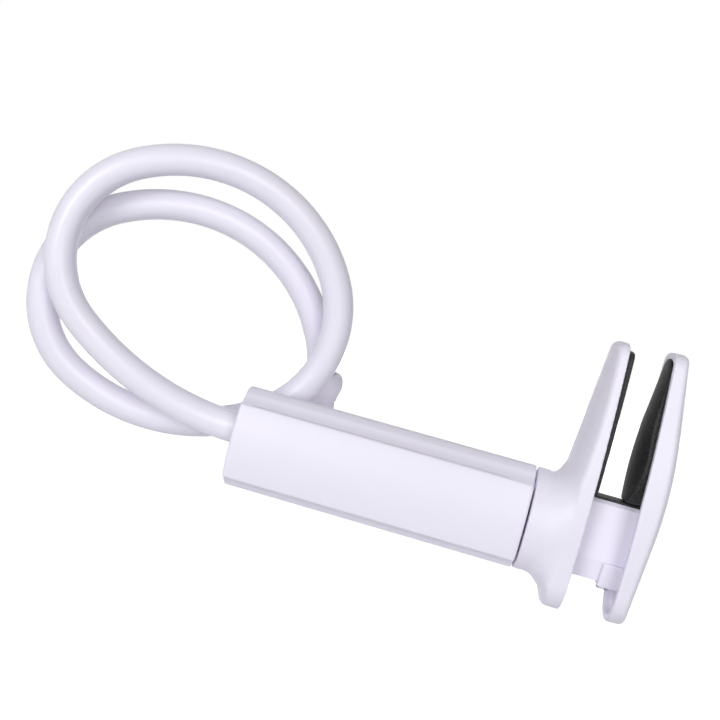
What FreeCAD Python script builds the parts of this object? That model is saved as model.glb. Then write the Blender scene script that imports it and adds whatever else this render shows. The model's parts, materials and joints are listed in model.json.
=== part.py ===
import FreeCAD, Part
import math
import os

import Sketcher
from FreeCAD import Placement, Rotation, Vector

# A phone holder: handle, spring clamp that pulls out along the handle, and gooseneck arm.
# X runs along the handle towards the sliding jaw, Y away from the front panel, Z up along the jaws.
# Pieces are drawn round the bar's axis, with x = 0 on the fixed jaw's face.
# They are then placed so that the origin is the middle of the fixed pad's gripping face.

# Driving dimensions, in millimetres and degrees.
SIZES = {
    # Handle
    "handle_length": 96.0,
    "handle_half_height": 16.5,
    "handle_back": 13.5,
    "handle_wall": 1.9,
    "end_wall": 4.0,
    "ridge_inset": 3.4,
    "ridge_drop": 0.4,
    "band_front": 9.2,
    "panel_margin": 4.1,
    "panel_edge": 10.2,
    "panel_crown": 2.1,
    "panel_seat": 9.35,
    "panel_flange": 1.5,
    "panel_flange_depth": 1.9,
    "cover_gap": 0.1,
    "cover_edge_round": 0.5,
    "ridge_round": 0.6,
    "seam_gap": 0.6,
    # Fixed jaw
    "plate_tip_depth": 4.2,
    "plate_depth": 9.0,
    "plate_foot_depth": 4.6,
    "plate_crown": 16.0,
    "plate_edge_round": 2.6,
    "hub_length": 16.8,
    "hub_proud": 0.2,
    "hub_half_depth": 13.2,
    "hub_neck": 13.0,
    "flare_waist": 10.4,
    "flare_waist_rise": 1.0,
    "flare_waist_drop": 0.8,
    "flare_waist_widen": 0.25,
    "flare_mouth": 8.4,
    "flare_mouth_rise": 5.2,
    "flare_mouth_drop": 2.6,
    "flare_mouth_widen": 0.6,
    "flare_root": 4.4,
    "flare_root_rise": 11.0,
    "flare_root_drop": 4.2,
    "flare_root_widen": 1.1,
    "flare_lip": 1.0,
    "flare_lip_rise": 20.0,
    "flare_lip_drop": 5.0,
    "flare_lip_widen": 0.6,
    "spigot_length": 8.0,
    "spigot_gap": 0.15,
    # Outline that both jaws share
    "jaw_top": 61.9,
    "jaw_bottom": 25.1,
    "jaw_half_depth": 14.6,
    "jaw_tip_half": 9.6,
    "jaw_tip_radius": 30.0,
    "jaw_corner_radius": 5.0,
    "jaw_bottom_radius": 12.0,
    "jaw_rim": 2.2,
    "jaw_rim_round": 0.4,
    # Sliding jaw
    "mouth_width": 14.5,
    "toe_in": 0.8,
    "jaw_lift": 0.7,
    "dish_tip_depth": 4.8,
    "dish_shoulder": 36.0,
    "dish_shoulder_depth": 8.4,
    "dish_belly": 20.0,
    "dish_depth": 9.5,
    "dish_waist": 5.0,
    "dish_waist_depth": 8.9,
    "dish_foot_depth": 5.4,
    "dish_crown": 25.0,
    "dish_edge_round": 1.8,
    "dish_hollow": 2.6,
    "collar_reach": 5.0,
    "collar_wall": 1.3,
    # Rubber pads
    "pad_foot_room": 1.4,
    "pad_seat": 1.5,
    "pad_proud": 1.8,
    "pad_gap": 0.1,
    "leaf_foot_half": 4.8,
    "leaf_belly": 28.0,
    "leaf_belly_half": 11.8,
    "leaf_shoulder": 50.0,
    "leaf_shoulder_half": 7.6,
    "leaf_tip_gap": 0.4,
    "leaf_flank_bow": 1.6,
    "leaf_tip_proud": 0.5,
    "leaf_bend": 39.0,
    "leaf_bend_proud": 3.0,
    "leaf_proud": 3.4,
    "leaf_edge_proud": 0.8,
    "leaf_foot_proud": 2.9,
    "strip_thickness": 1.0,
    "strip_gap": 0.3,
    # Bar that slides out of the handle
    "bar_half": 5.0,
    "bar_top_room": 3.9,
    "bar_foot_room": 3.8,
    "bar_corner": 1.0,
    "bar_crease": 6.0,
    "bar_foot_half": 3.2,
    "bar_in_jaw": 5.4,
    "bar_channel": 3.6,
    "bar_channel_end": 2.0,
    "slide_gap": 0.3,
    "stop_gap": 0.5,
    # Guide shoe on the bar's tail
    "shoe_length": 8.0,
    "shoe_base": 2.0,
    "shoe_half": 7.2,
    "shoe_half_height": 9.0,
    "shoe_pin_height": 6.8,
    "shoe_pin_setback": 2.7,
    "shoe_pin_radius": 1.25,
    # Spring and its two pins
    "spring_radius": 2.6,
    "spring_wire": 0.45,
    "spring_turns": 16.0,
    "spring_link": 4.0,
    "spring_pin_radius": 2.0,
    "spring_pin_setback": 6.0,
    "pin_boss_wall": 1.2,
    "pin_gap": 0.05,
    # Screws
    "screw_radius": 1.2,
    "screw_head_radius": 2.1,
    "screw_head": 1.0,
    "screw_gap": 0.15,
    "boss_wall": 1.1,
    "cover_screw_height": 8.7,
    "cover_screw_seat": 8.0,
    "cover_screw_length": 9.0,
    "cover_post": 2.6,
    "jaw_screw_height": 6.5,
    "jaw_screw_seat": 11.0,
    "jaw_screw_length": 5.0,
    "bar_screw_length": 6.0,
    # Gooseneck arm
    "arm_radius": 5.2,
    "arm_core_radius": 3.4,
    "fit_gap": 0.05,
    "arm_height": 2.1,
    "arm_lead": 0.7,
    "arm_runout": 6.0,
    "arm_hole_gap": 0.2,
    "ferrule_radius": 6.0,
    "ferrule_length": 6.4,
    "ferrule_gap": 0.35,
    "ferrule_pin_radius": 1.0,
    "collar_radius": 7.4,
    "collar_length": 9.0,
    "collar_round": 1.9,
    "collar_lip_round": 0.6,
    "collar_start": 0.5,
    "stud_radius": 5.6,
    "stud_length": 16.0,
    "stud_tenon": 2.4,
    "stud_chamfer": 0.8,
    # Bends of the arm, from the handle to its far end: radius, turn, and roll of the bend's plane
    "first_bend_radius": 86.4,
    "first_turn_angle": 42.4,
    "first_roll_angle": -19.2,
    "second_bend_radius": 32.8,
    "second_turn_angle": 112.2,
    "second_roll_angle": 22.3,
    "third_bend_radius": 54.4,
    "third_turn_angle": 87.4,
    "third_roll_angle": 4.7,
    "fourth_bend_radius": 39.0,
    "fourth_turn_angle": 85.4,
    "fourth_roll_angle": 5.1,
    "fifth_bend_radius": 61.3,
    "fifth_turn_angle": 65.7,
    "fifth_roll_angle": -1.5,
    "sixth_bend_radius": 33.1,
    "sixth_turn_angle": 121.3,
    "sixth_roll_angle": 9.4,
    "seventh_bend_radius": 57.0,
    "seventh_turn_angle": 107.4,
    "seventh_roll_angle": 2.3,
}
BENDS = ("first", "second", "third", "fourth", "fifth", "sixth", "seventh")

doc = FreeCAD.newDocument("phone_holder")
sheet = doc.addObject("Spreadsheet::Sheet", "Dims")
for row, (alias, number) in enumerate(SIZES.items(), start=1):
    sheet.set("A%d" % row, alias)
    sheet.set("B%d" % row, str(number))
    sheet.setAlias("B%d" % row, alias)
doc.recompute()


class Size:
    """A length that carries the sheet formula it comes from."""

    def __init__(self, value, text):
        self.value = float(value)
        self.text = text

    def __add__(self, other):
        other = size(other)
        return Size(self.value + other.value, "(%s + %s)" % (self.text, other.text))

    def __sub__(self, other):
        other = size(other)
        return Size(self.value - other.value, "(%s - %s)" % (self.text, other.text))

    def __mul__(self, other):
        other = size(other)
        return Size(self.value * other.value, "(%s * %s)" % (self.text, other.text))

    def __truediv__(self, other):
        other = size(other)
        return Size(self.value / other.value, "(%s / %s)" % (self.text, other.text))

    def __radd__(self, other):
        return size(other) + self

    def __rsub__(self, other):
        return size(other) - self

    def __rmul__(self, other):
        return size(other) * self

    def __neg__(self):
        return Size(-self.value, "(-%s)" % self.text)

    def root(self):
        return Size(math.sqrt(self.value), "sqrt(%s)" % self.text)

    def tangent(self):
        return Size(math.tan(math.radians(self.value)), "tan(%s)" % self.text)


def size(value):
    """Take a number, or a Size as it is."""
    if isinstance(value, Size):
        return value
    return Size(value, repr(float(value)))


def dim(alias):
    """Read one driving dimension from the sheet."""
    return Size(sheet.get(alias), "Dims." + alias)


def bind(thing, **sizes):
    """Bind properties of an object to the sheet."""
    for name, value in sizes.items():
        thing.setExpression(name, size(value).text)


# Stations along X that several pieces share.
HANDLE_END = -(dim("hub_length") + dim("seam_gap"))
HANDLE_START = HANDLE_END - dim("handle_length")
WALL_FACE = HANDLE_START + dim("end_wall")
SPIGOT_END = HANDLE_END - dim("spigot_length")
PIN_BOSS = dim("spring_pin_radius") + dim("pin_boss_wall")
SPRING_REACH = dim("spring_radius") + dim("spring_wire")
ANCHOR = WALL_FACE + dim("ferrule_length") + dim("ferrule_gap") + SPRING_REACH
SHOE_START = ANCHOR + PIN_BOSS + dim("stop_gap")
SHOE_END = SHOE_START + dim("shoe_length")
BAR_TAIL = SHOE_START + dim("shoe_base")
MOUTH = dim("mouth_width")
BAR_END = MOUTH + dim("bar_in_jaw")
BAR_PIN = -dim("spring_pin_setback")

# Heights and widths that several pieces share.
PANEL_HALF = dim("handle_half_height") - dim("panel_margin")
HUB_HALF = dim("handle_half_height") + dim("hub_proud")
BAR_TOP = dim("handle_half_height") - dim("bar_top_room")
BAR_BOTTOM = dim("handle_half_height") - dim("bar_foot_room")
PAD_FOOT = BAR_TOP + dim("pad_foot_room")
PAD_TOP = dim("jaw_top") - dim("jaw_rim")
PAD_MIDDLE = (PAD_FOOT + PAD_TOP) / 2

# Points closer together than this count as one.
NEAR = 0.001

PARTS = []


def hand_in(thing, label):
    """Name a sub-part and move it to the common origin, the middle of the fixed pad's face."""
    thing.Label = label
    bind(
        thing,
        **{
            ".Placement.Base.x": -dim("pad_proud"),
            ".Placement.Base.z": -PAD_MIDDLE,
        }
    )
    PARTS.append(thing)
    return thing


# Sketching and solid helpers


def new_body(name):
    return doc.addObject("PartDesign::Body", name)


def sketch_on(body, role, offset=0.0, shift=0.0):
    """A sketch on one of a body's own planes, offset along its normal and shifted along its first axis."""
    plane = [item for item in body.Origin.OriginFeatures if item.Role == role][0]
    sketch = body.newObject("Sketcher::SketchObject", body.Name + "_sketch")
    sketch.AttachmentSupport = [(plane, "")]
    sketch.MapMode = "FlatFace"
    bind(sketch, **{".AttachmentOffset.Base.z": offset, ".AttachmentOffset.Base.x": shift})
    return sketch


def pin(sketch, value, kind, *places):
    """Add a dimension to a sketch and bind it to the sheet."""
    index = sketch.addConstraint(Sketcher.Constraint(kind, *places, value.value))
    sketch.setExpression("Constraints[%d]" % index, value.text)


def pin_point(sketch, geo, end, point):
    """Tie a sketch point to its two coordinates."""
    for kind, axis, value in (("DistanceX", -2, size(point[0])), ("DistanceY", -1, size(point[1]))):
        if value.text == "0.0":
            sketch.addConstraint(Sketcher.Constraint("PointOnObject", geo, end, axis))
        else:
            pin(sketch, value, kind, -1, 1, geo, end)


def flat(point):
    return Vector(size(point[0]).value, size(point[1]).value, 0)


def ends_of(sketch, geo, start):
    """The start and end handles of an edge, seen from the point where the outline reaches it."""
    if sketch.getPoint(geo, 1).distanceToPoint(start) < sketch.getPoint(geo, 2).distanceToPoint(start):
        return 1, 2
    return 2, 1


def outline(sketch, *corners):
    """A closed outline. A corner is (a, b), or ((a, b), (a, b)) for an arc through one to the other."""
    targets = [corner[-1] if isinstance(corner[0], tuple) else corner for corner in corners]
    edges = []
    for number, corner in enumerate(corners):
        start = flat(targets[number - 1])
        end = flat(targets[number])
        if isinstance(corner[0], tuple):
            geo = sketch.addGeometry(Part.Arc(start, flat(corner[0]), end), False)
            via = sketch.addGeometry(Part.Point(flat(corner[0])), True)
            edges.append((geo, via, corner[0], start))
        else:
            geo = sketch.addGeometry(Part.LineSegment(start, end), False)
            edges.append((geo, None, None, start))
    handles = [ends_of(sketch, geo, start) for geo, via, middle, start in edges]
    for number, (geo, via, middle, start) in enumerate(edges):
        before = edges[number - 1][0]
        sketch.addConstraint(
            Sketcher.Constraint("Coincident", before, handles[number - 1][1], geo, handles[number][0])
        )
        pin_point(sketch, geo, handles[number][1], targets[number])
        if via is not None:
            sketch.addConstraint(Sketcher.Constraint("PointOnObject", via, 1, geo))
            pin_point(sketch, via, 1, middle)
    return sketch


def circle(sketch, centre, radius):
    radius = size(radius)
    geo = sketch.addGeometry(Part.Circle(flat(centre), Vector(0, 0, 1), radius.value), False)
    pin(sketch, radius, "Radius", geo)
    pin_point(sketch, geo, 3, centre)
    return sketch


def feature(body, kind, sketch, length, reverse):
    made = body.newObject("PartDesign::" + kind, "%s_in_%s" % (kind.lower(), body.Name))
    made.Profile = sketch
    made.Reversed = reverse
    bind(made, Length=length)
    sketch.Visibility = False
    doc.recompute()
    return made


def pad(body, sketch, length, reverse=False):
    return feature(body, "Pad", sketch, length, reverse)


def pocket(body, sketch, length, reverse=False):
    """Cut against the sketch's normal, or along it when reversed, and see that something was cut."""
    before = body.Shape.Volume
    made = feature(body, "Pocket", sketch, length, reverse)
    if not body.Shape.Volume < before:
        raise RuntimeError("pocket cut nothing in " + body.Name)
    return made


def rod(body, centre, radius, start, length):
    """Add a round post along Y. The plane's normal points to -Y, so the offset is minus the start."""
    sketch = circle(sketch_on(body, "XZ_Plane", -start), centre, radius)
    return pad(body, sketch, length, True)


def hole(body, centre, radius, start, length):
    """Cut a round hole along +Y from a start."""
    sketch = circle(sketch_on(body, "XZ_Plane", -start), centre, radius)
    return pocket(body, sketch, length, False)


def round_edges(body, radius, keep):
    """Round the edges whose two ends and middle all pass a test."""
    base = body.Tip
    names = []
    for number, edge in enumerate(base.Shape.Edges, start=1):
        marks = [vertex.Point for vertex in edge.Vertexes]
        marks.append(edge.valueAt((edge.FirstParameter + edge.LastParameter) / 2))
        if all(keep(mark) for mark in marks):
            names.append("Edge%d" % number)
    made = body.newObject("PartDesign::Fillet", body.Name + "_round")
    made.Base = (base, names)
    bind(made, Radius=radius)
    doc.recompute()
    return made


def on_station(station):
    """A test for points that lie in a plane across the handle."""
    return lambda mark: abs(mark.x - station.value) < NEAR


def cylinder(name, radius, length, axis, at):
    """A plain pin along an axis, from the middle of its first end face."""
    made = doc.addObject("Part::Cylinder", name)
    bind(made, Radius=radius, Height=length)
    turned = {"X": Rotation(Vector(0, 1, 0), 90), "Y": Rotation(Vector(1, 0, 0), -90), "Z": Rotation()}
    made.Placement = Placement(Vector(), turned[axis])
    bind(made, **{".Placement.Base." + letter: value for letter, value in zip("xyz", at)})
    return made


def fuse(name, pieces):
    made = doc.addObject("Part::MultiFuse", name)
    made.Shapes = pieces
    return made


def group(name, pieces):
    """One or more separate solids that are placed together."""
    made = doc.addObject("Part::Compound", name)
    made.Links = pieces
    return made


def cut(name, base, tool):
    made = doc.addObject("Part::Cut", name)
    made.Base = base
    made.Tool = tool
    return made


# Outlines that several pieces share


def bar_section(gap):
    """The bar's section in Y and Z, grown by a gap: bevelled lower flanks, eased upper corners."""
    half = dim("bar_half") + gap
    top = BAR_TOP + gap
    foot = dim("bar_foot_half") + gap
    low = -(BAR_BOTTOM + gap)
    crease = -dim("bar_crease")
    ease = dim("bar_corner")
    return [
        (half, crease),
        (half, top - ease),
        (half - ease, top),
        (-(half - ease), top),
        (-half, top - ease),
        (-half, crease),
        (-foot, low),
        (foot, low),
    ]


def handle_section(inset):
    """The housing's section from its upper ridge, round the back, to its lower ridge."""
    ridge_height = dim("handle_half_height") - dim("ridge_drop")
    run = dim("band_front") - dim("ridge_inset")
    rise = ridge_height - PANEL_HALF - dim("cover_gap")
    slant = (run * run + rise * rise).root()
    ridge_y = inset * rise / slant - dim("ridge_inset")
    ridge_z = ridge_height - inset * run / slant
    side_z = dim("handle_half_height") - inset
    back = dim("handle_back") - inset
    bulge_y = ridge_y / 2
    bulge_z = (ridge_z + side_z * 3) / 4
    upper = [(ridge_y, ridge_z), ((bulge_y, bulge_z), (size(0.0), side_z))]
    lower = [((back, size(0.0)), (size(0.0), -side_z)), ((bulge_y, -bulge_z), (ridge_y, -ridge_z))]
    return upper + lower


def oval(sketch, top, low, half_depth):
    """Two arcs that meet at the top and the bottom."""
    high = (size(0.0), top)
    deep = (size(0.0), -low)
    middle = (top - low) / 2
    return outline(sketch, ((half_depth, middle), deep), ((-half_depth, middle), high))


def jaw_outline(sketch, inset):
    """The paddle outline of both jaws: bowed tip and sides, round corners and foot, all tangent."""
    tip_radius = dim("jaw_tip_radius") - inset
    corner_radius = dim("jaw_corner_radius") - inset
    foot_radius = dim("jaw_bottom_radius") - inset
    widest = dim("jaw_half_depth") - inset
    tip_height = dim("jaw_top") - dim("jaw_tip_radius")
    foot_height = dim("jaw_bottom_radius") - dim("jaw_bottom")
    corner_out = dim("jaw_tip_half") - dim("jaw_corner_radius")
    reach = (tip_radius - corner_radius).value

    tip = Vector(0, tip_height.value, 0)
    corner = tip + Vector(corner_out.value, math.sqrt(reach**2 - corner_out.value**2), 0)
    foot = Vector(0, foot_height.value, 0)
    side_radius, side = side_arc(corner, corner_radius.value, foot, foot_radius.value, widest.value)
    tip_end = touch(tip, corner, corner_radius.value)
    side_start = touch(side, corner, corner_radius.value)
    side_end = touch(side, foot, foot_radius.value)
    bend = touch(corner - (tip_end - corner) - (side_start - corner), corner, corner_radius.value)
    points = [
        (across(tip_end), tip + Vector(0, tip_radius.value, 0), tip_end),
        (tip_end, bend, side_start),
        (side_start, side + Vector(side_radius, 0, 0), side_end),
        (side_end, foot - Vector(0, foot_radius.value, 0), across(side_end)),
        (across(side_end), across(side + Vector(side_radius, 0, 0)), across(side_start)),
        (across(side_start), across(bend), across(tip_end)),
    ]
    arcs = [sketch.addGeometry(Part.Arc(*three), False) for three in points]
    handles = [ends_of(sketch, geo, three[0]) for geo, three in zip(arcs, points)]
    for number, geo in enumerate(arcs):
        after = (number + 1) % len(arcs)
        sketch.addConstraint(
            Sketcher.Constraint("Tangent", geo, handles[number][1], arcs[after], handles[after][0])
        )
    top, right_corner, right, low, left, left_corner = arcs
    pin_point(sketch, top, 3, (size(0.0), tip_height))
    pin_point(sketch, low, 3, (size(0.0), foot_height))
    for geo, radius in (
        (top, tip_radius),
        (low, foot_radius),
        (right_corner, corner_radius),
        (left_corner, corner_radius),
    ):
        pin(sketch, radius, "Radius", geo)
    for geo, out in ((right_corner, corner_out), (left_corner, -corner_out)):
        pin(sketch, out, "DistanceX", -1, 1, geo, 3)
    for geo, out in ((right, widest), (left, -widest)):
        mark = sketch.addGeometry(Part.Point(Vector(out.value, side.y, 0)), True)
        sketch.addConstraint(Sketcher.Constraint("PointOnObject", mark, 1, geo))
        pin(sketch, out, "DistanceX", -1, 1, mark, 1)
        sketch.addConstraint(Sketcher.Constraint("Horizontal", geo, 3, mark, 1))
    return sketch


def across(point):
    """The same point on the other side of the upright axis."""
    return Vector(-point.x, point.y, 0)


def touch(outer, inner, radius):
    """Where a round meets the larger round that holds it, from the two centres and its own radius."""
    away = inner - outer
    away.normalize()
    return inner + away * radius


def side_arc(corner, corner_radius, foot, foot_radius, widest):
    """Radius and centre of the arc that holds a tip corner and the foot, and is as wide as asked."""

    def centre(radius):
        climb = (radius - foot_radius) ** 2 - (radius - widest) ** 2
        return Vector(widest - radius, foot.y + math.sqrt(climb), 0)

    low, high = widest, 100.0 * (corner.y - foot.y)
    for _ in range(200):
        middle = (low + high) / 2
        if centre(middle).distanceToPoint(corner) < middle - corner_radius:
            high = middle
        else:
            low = middle
    return low, centre(low)


def leaf_outline(sketch):
    """Leaf outline of the sliding jaw's pad: narrow foot, wide belly, round tip."""
    foot_half = dim("leaf_foot_half")
    belly_half = dim("leaf_belly_half")
    shoulder_half = dim("leaf_shoulder_half")
    foot = PAD_FOOT
    belly = dim("leaf_belly")
    shoulder = dim("leaf_shoulder")
    flank_half = (foot_half + belly_half) / 2 + dim("leaf_flank_bow")
    flank = (foot + belly) / 2 - dim("leaf_flank_bow")
    return outline(
        sketch,
        (foot_half, foot),
        ((flank_half, flank), (belly_half, belly)),
        (shoulder_half, shoulder),
        ((size(0.0), PAD_TOP - dim("leaf_tip_gap")), (-shoulder_half, shoulder)),
        (-belly_half, belly),
        ((-flank_half, flank), (-foot_half, foot))
    )


# Handle


def handle_shell():
    body = new_body("handle_shell")
    step = PANEL_HALF + dim("cover_gap")
    front = -dim("band_front")
    outer = sketch_on(body, "YZ_Plane", HANDLE_START)
    outline(outer, (front, step), *handle_section(size(0.0)), (front, -step))
    pad(body, outer, dim("handle_length"))
    ridge = -dim("ridge_inset").value
    round_edges(body, dim("ridge_round"), lambda mark: abs(mark.y - ridge) < NEAR)

    seat = -(dim("panel_seat") - dim("panel_flange_depth") - dim("cover_gap"))
    lip = step - dim("panel_flange") + dim("cover_gap")
    mouth = front - dim("handle_back")
    inner = sketch_on(body, "YZ_Plane", HANDLE_END)
    outline(
        inner,
        (mouth, step),
        (seat, step),
        (seat, lip),
        *handle_section(dim("handle_wall")),
        (seat, -lip),
        (seat, -step),
        (mouth, -step)
    )
    pocket(body, inner, dim("handle_length") - dim("end_wall"))

    hole_radius = dim("arm_radius") + dim("arm_hole_gap")
    way_in = sketch_on(body, "YZ_Plane", WALL_FACE)
    circle(way_in, (size(0.0), dim("arm_height")), hole_radius)
    pocket(body, way_in, dim("end_wall"))

    rear = dim("handle_back")
    boss = dim("screw_radius") + dim("screw_gap") + dim("boss_wall")
    head = dim("screw_head_radius") + dim("screw_gap")
    shank = dim("screw_radius") + dim("screw_gap")
    meet = COVER_BOSS_END + dim("cover_gap")
    for side in (1, -1):
        centre = (ANCHOR, dim("cover_screw_height") * side)
        rod(body, centre, boss, meet, COVER_POST_TOP - meet)
        hole(body, centre, shank, meet, rear)
        hole(body, centre, head, dim("cover_screw_seat"), rear)
        centre = (JAW_SCREW_X, dim("jaw_screw_height") * side)
        hole(body, centre, shank, size(0.0), rear * 2)
        hole(body, centre, head, dim("jaw_screw_seat"), rear)

    anchor = (ANCHOR, size(0.0))
    rod(body, anchor, PIN_BOSS, ANCHOR_POST, rear - dim("handle_wall") / 2 - ANCHOR_POST)
    pin_hole = dim("spring_pin_radius") + dim("pin_gap")
    hole(body, anchor, pin_hole, ANCHOR_POST, ANCHOR_PIN_END - ANCHOR_POST)
    return hand_in(body, "handle_shell")


def handle_cover():
    body = new_body("handle_cover")
    half = PANEL_HALF
    edge = -dim("panel_edge")
    seat = -dim("panel_seat")
    top = -(dim("panel_edge") + dim("panel_crown"))
    panel = sketch_on(body, "YZ_Plane", HANDLE_START)
    outline(panel, (edge, half), ((top, size(0.0)), (edge, -half)), (seat, -half), (seat, half))
    pad(body, panel, dim("handle_length"))
    side = (edge + seat).value / 2
    round_edges(body, dim("cover_edge_round"), lambda mark: mark.y < side)

    lip = half - dim("panel_flange")
    deep = seat + dim("panel_flange_depth")
    reach = dim("handle_length") - dim("end_wall") - dim("cover_gap") - dim("spigot_length")
    for side in (1, -1):
        flange = sketch_on(body, "YZ_Plane", WALL_FACE + dim("cover_gap"))
        outline(
            flange,
            (seat, half * side),
            (deep, half * side),
            (deep, lip * side),
            (seat, lip * side)
        )
        pad(body, flange, reach)

    boss = dim("screw_radius") + dim("boss_wall")
    for side in (1, -1):
        centre = (ANCHOR, dim("cover_screw_height") * side)
        rod(body, centre, boss, seat, COVER_BOSS_END - seat)
        hole(body, centre, SCREW_HOLE, COVER_SCREW_TIP, COVER_BOSS_END - COVER_SCREW_TIP)
    anchor = (ANCHOR, size(0.0))
    rod(body, anchor, PIN_BOSS, seat, -ANCHOR_POST - seat)
    pin_hole = dim("spring_pin_radius") + dim("pin_gap")
    hole(body, anchor, pin_hole, ANCHOR_PIN_START, -ANCHOR_POST - ANCHOR_PIN_START)
    return hand_in(body, "handle_cover")


# Hole for a screw's thread, and depths along Y at which the handle's posts, pins and screws meet.
SCREW_HOLE = dim("screw_radius") + dim("pin_gap")
COVER_BOSS_END = dim("cover_screw_seat") - dim("cover_post")
COVER_SCREW_TIP = dim("cover_screw_seat") - dim("cover_screw_length")
COVER_POST_TOP = dim("cover_screw_seat") + dim("boss_wall")
ANCHOR_POST = dim("bar_half") + dim("pin_boss_wall") / 2
ANCHOR_PIN_END = dim("handle_back") - dim("handle_wall") * 2
ANCHOR_PIN_START = -dim("panel_seat") - dim("cover_gap")
JAW_SCREW_X = HANDLE_END - dim("spigot_length") / 2


# Fixed jaw


def back_groove(body, profile, axis_x):
    """Shape a jaw's outer face by turning away what lies beyond a profile, about an upright axis."""
    sketch = sketch_on(body, "XZ_Plane", 0.0, axis_x)
    outline(sketch, *profile)
    groove = body.newObject("PartDesign::Groove", body.Name + "_groove")
    groove.Profile = sketch
    groove.ReferenceAxis = (sketch, ["V_Axis"])
    groove.Angle = 360.0
    before = body.Shape.Volume
    doc.recompute()
    if not body.Shape.Volume < before:
        raise RuntimeError("groove cut nothing in " + body.Name)
    return groove


def fixed_jaw():
    body = new_body("jaw_plate")
    plate = jaw_outline(sketch_on(body, "YZ_Plane"), size(0.0))
    pad(body, plate, dim("plate_depth") + dim("plate_edge_round"), True)

    axis = dim("plate_crown")
    hub_top = HUB_HALF
    high = dim("jaw_top") + dim("jaw_rim")
    low = -(dim("jaw_bottom") + dim("jaw_rim"))
    tip = -(axis + dim("plate_tip_depth"))
    middle = -(axis + dim("plate_depth"))
    foot = -(axis + dim("plate_foot_depth"))
    beyond = middle * 2
    back_groove(
        body,
        [
            (tip, high),
            (middle, hub_top),
            (middle, -hub_top),
            (foot, low),
            (beyond, low),
            (beyond, high),
        ],
        axis,
    )
    rim = dim("plate_tip_depth").value / 4
    round_edges(body, dim("plate_edge_round"), lambda mark: mark.x < -rim)

    hub = oval(sketch_on(body, "YZ_Plane", -dim("hub_length")), hub_top, hub_top, dim("hub_half_depth"))
    pad(body, hub, dim("hub_length") - dim("hub_neck"))
    flare(body)

    spigot = sketch_on(body, "YZ_Plane", SPIGOT_END)
    gap = dim("handle_wall") + dim("spigot_gap")
    front = -(dim("panel_seat") - dim("panel_flange_depth") - dim("cover_gap") * 2)
    lip = PANEL_HALF - dim("panel_flange") - dim("spigot_gap")
    outline(spigot, (front, lip), *handle_section(gap), (front, -lip))
    pad(body, spigot, dim("spigot_length") + dim("seam_gap"))

    channel = sketch_on(body, "YZ_Plane")
    outline(channel, *bar_section(dim("slide_gap")))
    pocket(body, channel, -SPIGOT_END + dim("seam_gap"))

    for side in (1, -1):
        centre = (JAW_SCREW_X, dim("jaw_screw_height") * side)
        start = dim("jaw_screw_seat") - dim("jaw_screw_length")
        hole(body, centre, SCREW_HOLE, start, dim("jaw_screw_length"))
    seat = grip_blank("grip_seat", dim("jaw_rim") - dim("pad_gap"), PAD_FOOT - dim("pad_gap"))
    return hand_in(cut("seated_jaw", body, seat), "fixed_jaw")


def grip_blank(name, inset, foot):
    """The jaw's outline, set in from its rim and cut off at a foot, from the seat to the gripping face."""
    body = new_body(name)
    start = -dim("pad_seat")
    depth = dim("pad_seat") + dim("pad_proud")
    pad(body, jaw_outline(sketch_on(body, "YZ_Plane", start), inset), depth)
    wide = dim("jaw_half_depth")
    low = -dim("jaw_bottom")
    below = outline(
        sketch_on(body, "YZ_Plane", start), (wide, foot), (-wide, foot), (-wide, low), (wide, low)
    )
    pocket(body, below, depth, True)
    return body


def flare(body):
    """The hub opens into the plate like a bell, through five ovals from its neck to the jaw's rim."""
    height = HUB_HALF
    depth = dim("hub_half_depth")
    rings = [(dim("hub_neck"), height, height, depth)]
    for place in ("flare_waist", "flare_mouth", "flare_root", "flare_lip"):
        top = height + dim(place + "_rise")
        low = height + dim(place + "_drop")
        rings.append((dim(place), top, low, depth + dim(place + "_widen")))
    sketches = [oval(sketch_on(body, "YZ_Plane", -station), *sizes) for station, *sizes in rings]
    loft = body.newObject("PartDesign::AdditiveLoft", "jaw_flare")
    loft.Profile = sketches[0]
    loft.Sections = sketches[1:]
    doc.recompute()
    return loft


def fixed_jaw_pad():
    """A flat sheet of rubber that follows the jaw's rim, from its seat in the jaw to its gripping face."""
    return hand_in(grip_blank("grip_sheet", dim("jaw_rim"), PAD_FOOT), "fixed_jaw_pad")


# Bar, shoe and strip


def slider_bar():
    body = new_body("slider_bar")
    section = sketch_on(body, "YZ_Plane", BAR_TAIL)
    outline(section, *bar_section(size(0.0)))
    pad(body, section, BAR_END - BAR_TAIL)

    half = dim("bar_channel")
    channel = sketch_on(body, "YZ_Plane", BAR_TAIL)
    outline(channel, (half, half), (-half, half), (-half, -half), (half, -half))
    pocket(body, channel, dim("bar_channel_end") - BAR_TAIL, True)

    width = dim("bar_half")
    hole(body, (BAR_PIN, size(0.0)), dim("spring_pin_radius") + dim("pin_gap"), -width, width * 2)
    hole(body, SHOE_PIN, dim("shoe_pin_radius") + dim("pin_gap"), -width, width * 2)
    screw = sketch_on(body, "XY_Plane", -BAR_BOTTOM)
    circle(screw, (BAR_SCREW_X, size(0.0)), SCREW_HOLE)
    pocket(body, screw, dim("bar_screw_length") - dim("collar_wall"), True)
    return hand_in(body, "slider_bar")


SHOE_PIN = (SHOE_END - dim("shoe_pin_setback"), dim("shoe_pin_height"))
BAR_SCREW_X = MOUTH - dim("collar_reach") / 2


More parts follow.
